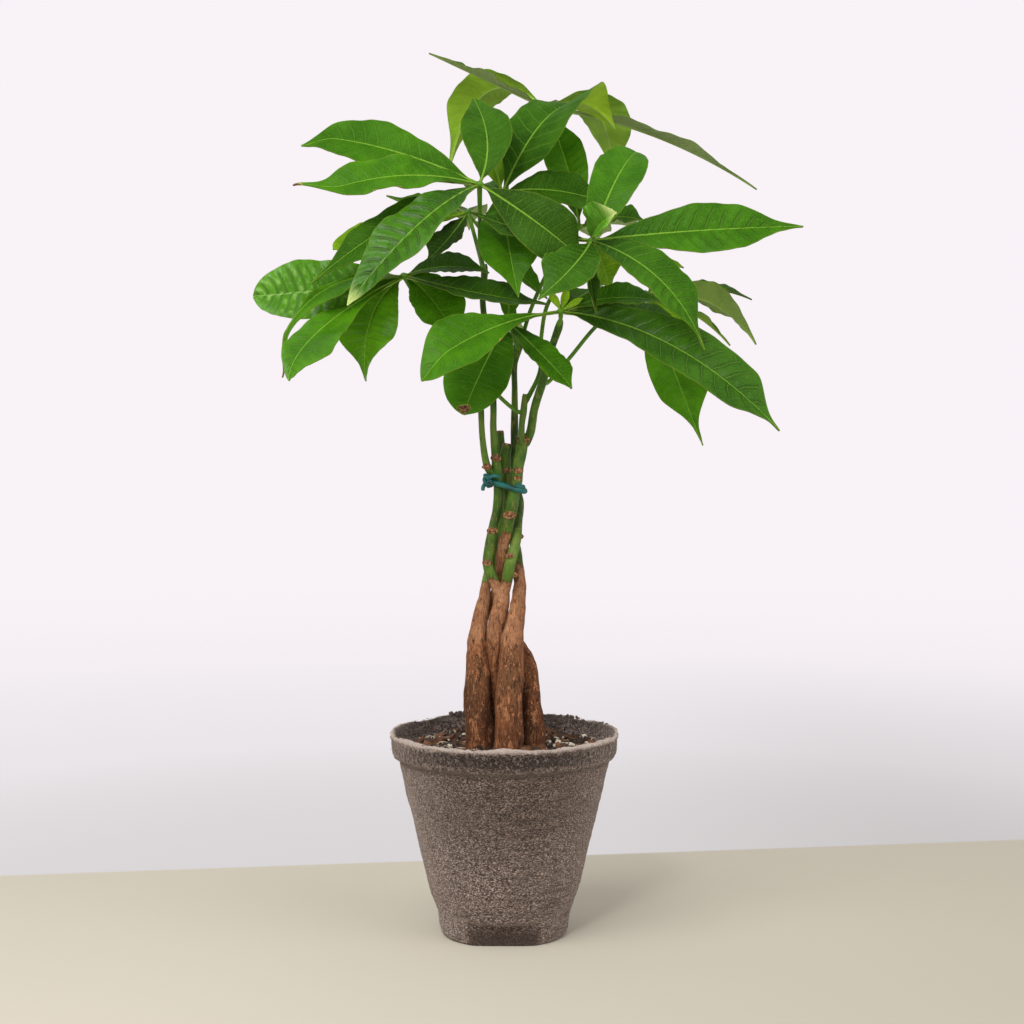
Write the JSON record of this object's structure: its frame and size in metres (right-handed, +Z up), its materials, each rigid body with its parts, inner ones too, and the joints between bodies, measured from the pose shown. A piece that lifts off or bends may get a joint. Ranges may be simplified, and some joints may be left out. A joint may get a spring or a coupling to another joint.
{
  "type": "potted money tree",
  "caption": "Braided money tree with long-stalked palmate leaves spread above its stems, rooted in bark soil in a round tapered moulded-fibre pot.",
  "frame": {"origin": "middle of the pot's underside, on the surface it stands on", "axes": "+Z up along the stems, -Y towards the viewer of the picture, +X to the viewer's right"},
  "size_m": [0.2963, 0.258, 0.5047],
  "materials": {
    "fibre": "matte",
    "soil": "matte",
    "stem": "satin",
    "tie": "satin",
    "leaf": "satin"
  },
  "bodies": {
    "root": {"pot": "fibre", "soil": "soil", "stem_left": "stem", "stem_front": "stem", "stem_middle": "stem", "stem_right": "stem", "stem_back": "stem", "tie": "tie", "leaf_a": "leaf", "leaf_b": "leaf", "leaf_c": "leaf", "leaf_d": "leaf", "leaf_e": "leaf", "leaf_f": "leaf", "leaf_g": "leaf", "leaf_h": "leaf", "leaf_k": "leaf", "leaf_l": "leaf", "leaf_m": "leaf"}
  },
  "joints": []
}
